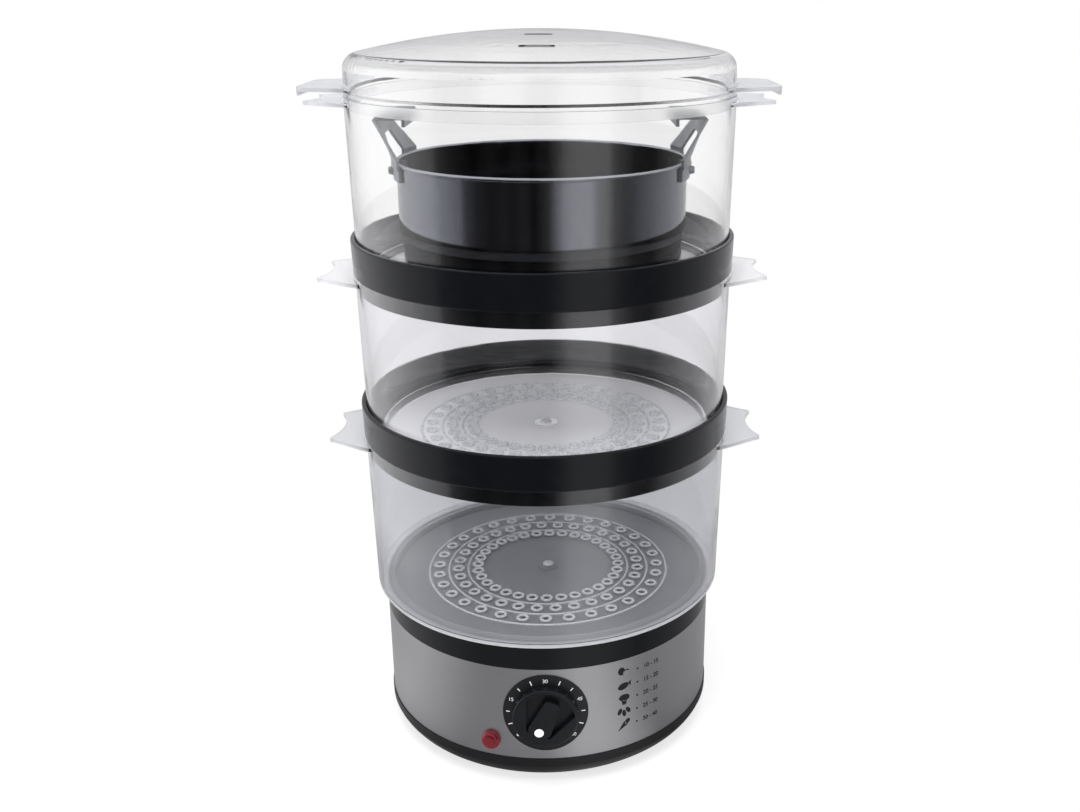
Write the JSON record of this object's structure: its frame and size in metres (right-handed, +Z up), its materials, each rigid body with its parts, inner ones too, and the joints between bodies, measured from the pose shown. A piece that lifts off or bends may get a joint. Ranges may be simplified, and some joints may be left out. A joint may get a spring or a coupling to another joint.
{
  "type": "electric food steamer",
  "caption": "Free-standing kitchen steamer: round heated base with timer knob, stacked clear baskets joined by rings, inner rice pot and domed lid.",
  "frame": {"origin": "on the base's axis, at the surface that the feet stand on", "axes": "+Z up; the timer knob faces -Y; the handles point along +X and -X"},
  "size_m": [0.245, 0.2064, 0.3934],
  "materials": {
    "gloss_black": "polished moulding",
    "brushed_band": "brushed round the band",
    "matt_black": "fine matt moulding",
    "foot_rubber": "matt rubber",
    "plain_steel": "plain zinc-plated steel",
    "cast_aluminium": "cast and machined",
    "silicone": "soft silicone",
    "phenolic": "brown moulding",
    "nylon": "off-white moulding",
    "red_lens": "clear red",
    "wire_insulation": "silicone insulation",
    "white_inlay": "white inlay",
    "clear_plastic": "clear",
    "pot_coating": "dark grey coating, glossy",
    "satin_steel": "satin"
  },
  "bodies": {
    "base": {"water_tank": "gloss_black", "steel_band": "brushed_band", "base_housing": "matt_black", "bottom_cover": "matt_black", "feet": "foot_rubber", "base_screws": "plain_steel", "heater_plate": "cast_aluminium", "heater_gasket": "silicone", "clamp_plate": "plain_steel", "clamp_screws": "plain_steel", "heater_element": "plain_steel", "thermostat": "phenolic", "thermal_fuse": "plain_steel", "timer_body": "nylon", "timer_bell": "plain_steel", "timer_screws": "plain_steel", "dial_plate": "matt_black", "lamp_lens": "red_lens", "lamp_body": "nylon", "terminal_block": "nylon", "cable_gland": "foot_rubber", "wire_live": "wire_insulation", "wire_switched": "wire_insulation", "wire_neutral": "wire_insulation"},
    "knob": {"timer_knob": "gloss_black", "knob_pointer": "white_inlay", "timer_shaft": "plain_steel"},
    "steam_ring": {"steam_ring": "matt_black"},
    "drip_tray": {"drip_tray": "matt_black"},
    "basket_lower": {"basket_lower": "clear_plastic"},
    "ring_lower": {"ring_lower": "gloss_black"},
    "basket_middle": {"basket_middle": "clear_plastic"},
    "ring_upper": {"ring_upper": "gloss_black"},
    "basket_upper": {"basket_upper": "clear_plastic"},
    "pot": {"pot_body": "pot_coating", "pot_handle_left": "satin_steel", "pot_handle_right": "satin_steel", "pot_rivets": "satin_steel"},
    "lid": {"lid": "clear_plastic"}
  },
  "joints": [
    {"name": "knob_turn", "type": "hinge", "parent": "base", "child": "knob", "pos_m": [0, -0.1, 0.0464], "axis": [0, 1, 0], "range_deg": [0, 300]},
    {"name": "steam_ring_lift", "type": "slide", "parent": "base", "child": "steam_ring", "axis": [0, 0, 1], "range_m": [0, 0.06]},
    {"name": "drip_tray_lift", "type": "slide", "parent": "steam_ring", "child": "drip_tray", "axis": [0, 0, 1], "range_m": [0, 0.03]},
    {"name": "basket_lower_lift", "type": "slide", "parent": "drip_tray", "child": "basket_lower", "axis": [0, 0, 1], "range_m": [0, 0.04]},
    {"name": "ring_lower_lift", "type": "slide", "parent": "basket_lower", "child": "ring_lower", "axis": [0, 0, 1], "range_m": [0, 0.03]},
    {"name": "basket_middle_lift", "type": "slide", "parent": "ring_lower", "child": "basket_middle", "axis": [0, 0, 1], "range_m": [0, 0.04]},
    {"name": "ring_upper_lift", "type": "slide", "parent": "basket_middle", "child": "ring_upper", "axis": [0, 0, 1], "range_m": [0, 0.03]},
    {"name": "basket_upper_lift", "type": "slide", "parent": "ring_upper", "child": "basket_upper", "axis": [0, 0, 1], "range_m": [0, 0.04]},
    {"name": "pot_lift", "type": "slide", "parent": "basket_upper", "child": "pot", "axis": [0, 0, 1], "range_m": [0, 0.1]},
    {"name": "lid_lift", "type": "slide", "parent": "pot", "child": "lid", "axis": [0, 0, 1], "range_m": [0, 0.06]}
  ]
}
